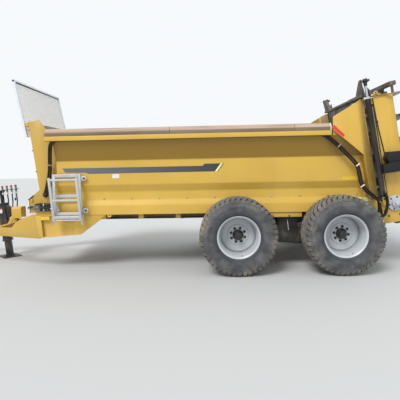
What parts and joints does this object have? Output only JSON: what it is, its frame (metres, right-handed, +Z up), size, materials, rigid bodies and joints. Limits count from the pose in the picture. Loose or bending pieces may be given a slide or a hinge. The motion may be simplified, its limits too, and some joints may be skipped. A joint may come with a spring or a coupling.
{
  "type": "manure spreader",
  "caption": "Pull-type tandem-axle manure spreader: folded steel box with apron chain floor, lifting rear gate and upright beaters",
  "frame": {"origin": "middle of the bounding box on the ground", "axes": "X runs from the hitch (low) to the beaters (high), Y to the machine's right, Z up"},
  "size_m": [8.6134, 2.978, 3.0479],
  "materials": {
    "yellow_paint": "yellow enamel, dusty and scuffed at edges",
    "black_paint": "black enamel, satin",
    "grey_steel": "worn bare steel with dried dirt",
    "galvanized": "hot-dip galvanized, dull spangle",
    "silver_paint": "silver wheel paint, dusty",
    "tyre_rubber": "black tyre rubber with dried mud",
    "timber": "weathered rough-sawn plank",
    "chrome_rod": "hard chrome rod",
    "hose_rubber": "black hydraulic hose",
    "lamp_plastic": "black moulded housing"
  },
  "bodies": {
    "root": {"frame_rails": "yellow_paint", "cross_bars": "yellow_paint", "front_side_frames": "yellow_paint", "drawbar_beams": "yellow_paint", "drawbar_crossmember": "yellow_paint", "hitch": "black_paint", "side_panel_left": "yellow_paint", "side_panel_right": "yellow_paint", "front_wall": "yellow_paint", "front_corner_plates": "yellow_paint", "front_screen": "galvanized", "floor": "grey_steel", "floor_sills": "yellow_paint", "apron": "grey_steel", "idler_shaft": "grey_steel", "apron_drive": "silver_paint", "top_rails": "yellow_paint", "timber_rails": "timber", "rear_side_panels": "yellow_paint", "gate_posts": "yellow_paint", "wing_left": "yellow_paint", "wing_right": "yellow_paint", "top_beam": "grey_steel", "beater_deck": "yellow_paint", "beater_gearboxes": "black_paint", "gate_cylinders": "black_paint", "walking_beams": "black_paint", "bogie_pivots": "black_paint", "parking_jack": "black_paint", "ladder_fixed": "galvanized", "cylinder_hoses": "hose_rubber", "hose_rack": "black_paint", "rear_lamps": "lamp_plastic"},
    "gate": {"gate": "grey_steel", "gate_rods": "chrome_rod"},
    "beater_left": {"beater_left": "grey_steel"},
    "beater_right": {"beater_right": "grey_steel"},
    "driveline": {"driveline": "black_paint"},
    "ladder_folding": {"ladder_folding": "galvanized"},
    "wheel_front_left": {"tyre_front_left": "tyre_rubber", "wheel_front_left": "silver_paint"},
    "wheel_front_right": {"tyre_front_right": "tyre_rubber", "wheel_front_right": "silver_paint"},
    "wheel_rear_left": {"tyre_rear_left": "tyre_rubber", "wheel_rear_left": "silver_paint"},
    "wheel_rear_right": {"tyre_rear_right": "tyre_rubber", "wheel_rear_right": "silver_paint"}
  },
  "joints": [
    {"name": "wheel_front_left_spin", "type": "hinge", "parent": "root", "child": "wheel_front_left", "pos_m": [1.23934, -1.239, 0.586], "axis": [0, 1, 0], "continuous": true},
    {"name": "wheel_front_right_spin", "type": "hinge", "parent": "root", "child": "wheel_front_right", "pos_m": [1.23934, 1.239, 0.586], "axis": [0, 1, 0], "continuous": true},
    {"name": "wheel_rear_left_spin", "type": "hinge", "parent": "root", "child": "wheel_rear_left", "pos_m": [2.79134, -1.239, 0.586], "axis": [0, 1, 0], "continuous": true},
    {"name": "wheel_rear_right_spin", "type": "hinge", "parent": "root", "child": "wheel_rear_right", "pos_m": [2.79134, 1.239, 0.586], "axis": [0, 1, 0], "continuous": true},
    {"name": "gate_lift", "type": "slide", "parent": "root", "child": "gate", "axis": [-0.1736, 0, 0.9848], "range_m": [0, 1.05]},
    {"name": "beater_left_spin", "type": "hinge", "parent": "root", "child": "beater_left", "pos_m": [3.76397, -0.455, 1.87293], "axis": [-0.1736, 0, 0.9848], "continuous": true},
    {"name": "beater_right_spin", "type": "hinge", "parent": "root", "child": "beater_right", "pos_m": [3.76397, 0.455, 1.87293], "axis": [-0.1736, 0, 0.9848], "continuous": true},
    {"name": "driveline_spin", "type": "hinge", "parent": "root", "child": "driveline", "pos_m": [0.51534, 0, 0.75], "axis": [1, 0, 0], "continuous": true},
    {"name": "ladder_fold", "type": "hinge", "parent": "root", "child": "ladder_folding", "pos_m": [-1.64466, -1.078, 0.83], "axis": [1, 0, 0], "range_deg": [0, 150]}
  ],
  "couplings": [
    {"joint": "beater_right_spin", "follows": "beater_left_spin", "ratio": -1},
    {"joint": "driveline_spin", "follows": "beater_left_spin", "ratio": 2.5}
  ]
}
